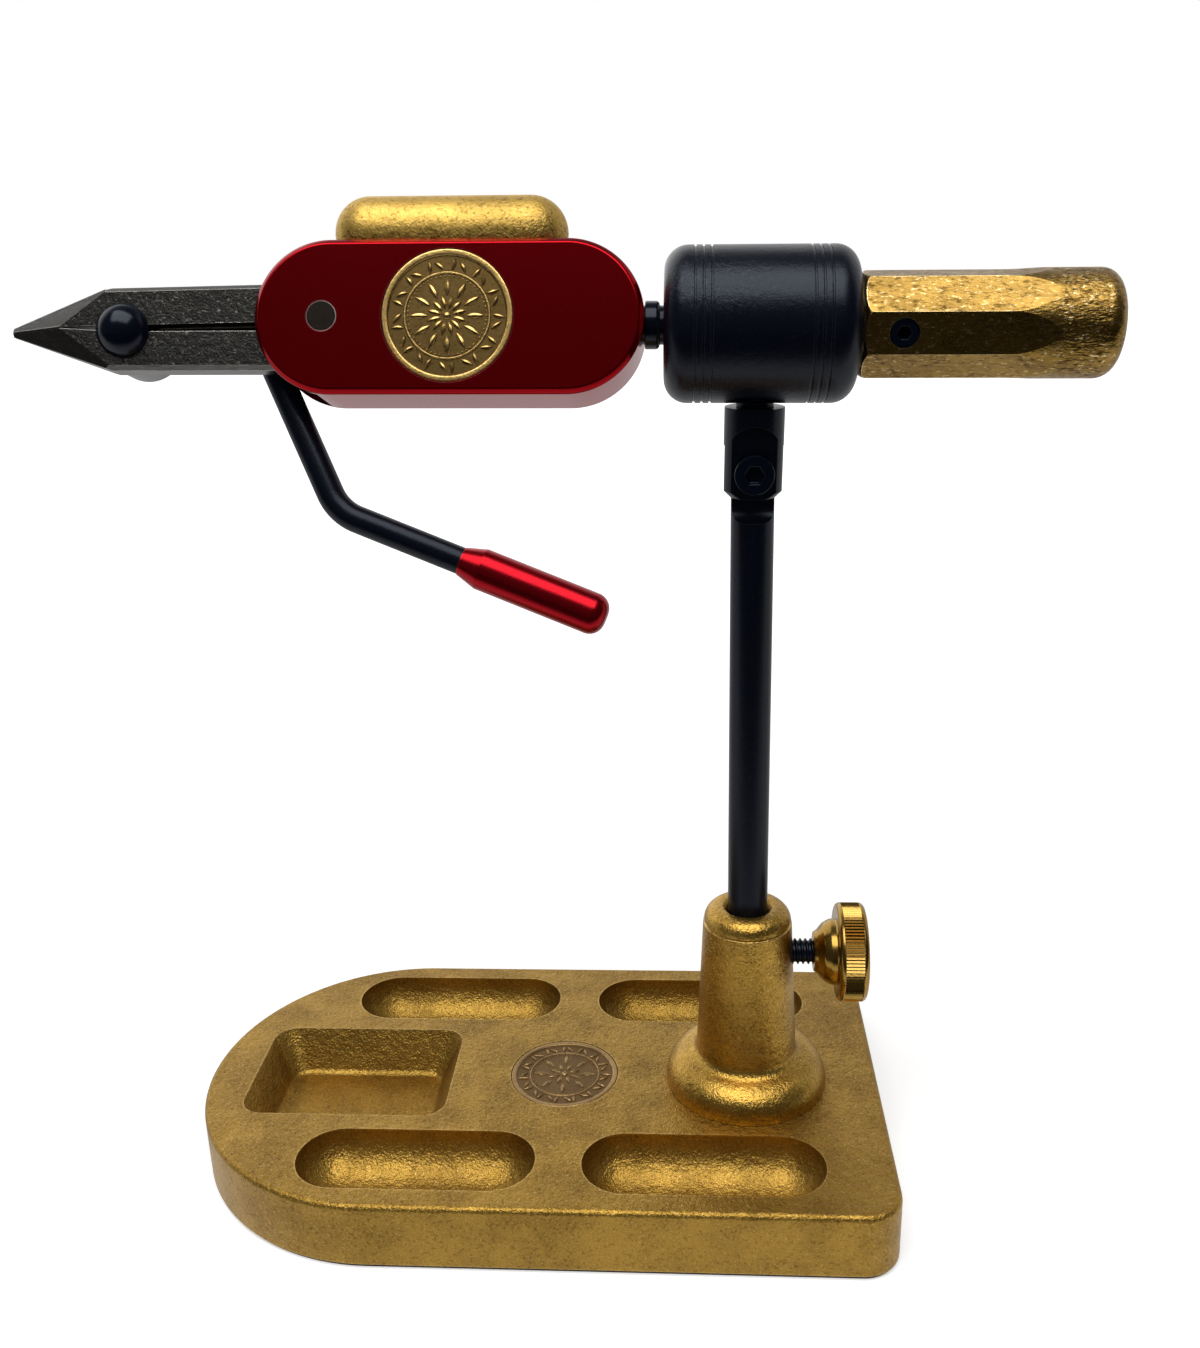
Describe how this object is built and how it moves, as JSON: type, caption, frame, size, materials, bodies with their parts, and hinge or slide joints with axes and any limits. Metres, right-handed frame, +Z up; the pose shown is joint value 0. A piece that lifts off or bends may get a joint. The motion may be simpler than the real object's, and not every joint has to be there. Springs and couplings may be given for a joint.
{
  "type": "fly tying vise",
  "caption": "Pedestal fly tying vise with a rotating cam-opened jaw head, side lever, tilting neck, clamped stem and a heavy cast base with trays.",
  "frame": {"origin": "on the table, under the vertical axis of the stem", "axes": "+Z up along the stem, +X along the head towards the brass knob (jaws point to -X), -Y towards the front of the housing with its coin and lever"},
  "size_m": [0.2322, 0.1, 0.2304],
  "materials": {
    "cast_bronze": "cast, mottled patina with worn bright edges",
    "antique_brass": "satin, speckled patina",
    "medal_brass": "struck, antiqued recesses",
    "polished_brass": "polished, fine straight knurl",
    "bush_bronze": "turned",
    "black_steel": "black oxide, satin",
    "gloss_black_steel": "black oxide, glossy",
    "blue_black_anodised": "fine bead blasted, anodised",
    "red_anodised": "gloss anodised",
    "bright_red_anodised": "gloss anodised",
    "pin_steel": "turned, bright edge",
    "jaw_steel": "hardened, ground flanks",
    "grey_steel": "satin",
    "bearing_steel": "ground",
    "pad_rubber": "matte"
  },
  "bodies": {
    "base": {"base_pad": "pad_rubber", "base_plate": "cast_bronze", "base_medallion": "medal_brass", "pedestal": "cast_bronze", "pedestal_screws": "black_steel"},
    "swivel_bush": {"stem_bush": "bush_bronze"},
    "stem": {"stem": "black_steel", "tilt_screw": "gloss_black_steel"},
    "clamp_stud": {"clamp_stud": "black_steel"},
    "clamp_knob": {"clamp_knob": "polished_brass"},
    "barrel": {"neck": "black_steel", "neck_stud": "black_steel", "barrel": "blue_black_anodised", "bearing_outer_rings": "bearing_steel"},
    "head": {"spindle": "gloss_black_steel", "bearing_inner_rings": "bearing_steel", "bearing_balls": "bearing_steel", "bearing_spacer": "grey_steel", "head_knob": "antique_brass", "knob_set_screw": "gloss_black_steel", "head_housing": "red_anodised", "head_medallion": "medal_brass", "counterweight": "antique_brass", "counterweight_studs": "grey_steel", "jaw_root_pins": "pin_steel"},
    "lever": {"cam_pin": "pin_steel", "lever_hub": "black_steel", "lever_rod": "black_steel", "lever_grip": "bright_red_anodised"},
    "upper_jaw": {"upper_jaw": "jaw_steel"},
    "lower_jaw": {"lower_jaw": "jaw_steel", "jaw_cross_pin": "gloss_black_steel", "jaw_cross_nut": "grey_steel"}
  },
  "joints": [
    {"name": "stem_swivel", "type": "hinge", "parent": "base", "child": "swivel_bush", "pos_m": [0, 0, 0.0172], "axis": [0, 0, 1], "continuous": true},
    {"name": "stem_height", "type": "slide", "parent": "swivel_bush", "child": "stem", "axis": [0, 0, 1], "range_m": [-0.004, 0.014]},
    {"name": "head_tilt", "type": "hinge", "parent": "stem", "child": "barrel", "pos_m": [0, 0, 0.1725], "axis": [0, 1, 0], "range_deg": [-30, 60]},
    {"name": "head_spin", "type": "hinge", "parent": "barrel", "child": "head", "pos_m": [0.00053, 0, 0.2029], "axis": [0.9998, 0, -0.0175], "continuous": true},
    {"name": "lever_squeeze", "type": "hinge", "parent": "head", "child": "lever", "pos_m": [-0.08956, 0, 0.20447], "axis": [0.0055, -0.9483, 0.3173], "range_deg": [0, 14], "stiffness_Nm_per_rad": 0.6, "springref_deg": -11.46},
    {"name": "upper_jaw_open", "type": "hinge", "parent": "head", "child": "upper_jaw", "pos_m": [-0.07149, 0.00126, 0.20791], "axis": [-0.0055, 0.9483, -0.3173], "range_deg": [0, 1.7]},
    {"name": "lower_jaw_open", "type": "hinge", "parent": "head", "child": "lower_jaw", "pos_m": [-0.07166, -0.00203, 0.19809], "axis": [0.0055, -0.9483, 0.3173], "range_deg": [0, 1.7]},
    {"name": "clamp_travel", "type": "slide", "parent": "base", "child": "clamp_stud", "axis": [1, 0, 0], "range_m": [0, 0.004]},
    {"name": "clamp_turn", "type": "hinge", "parent": "clamp_stud", "child": "clamp_knob", "pos_m": [0.018, 0, 0.0536], "axis": [1, 0, 0], "range_deg": [0, 1130]}
  ],
  "couplings": [
    {"joint": "upper_jaw_open", "follows": "lever_squeeze", "ratio": 0.11429},
    {"joint": "lower_jaw_open", "follows": "lever_squeeze", "ratio": 0.11429},
    {"joint": "clamp_travel", "follows": "clamp_turn", "m_per_rad": 0.00020213}
  ]
}
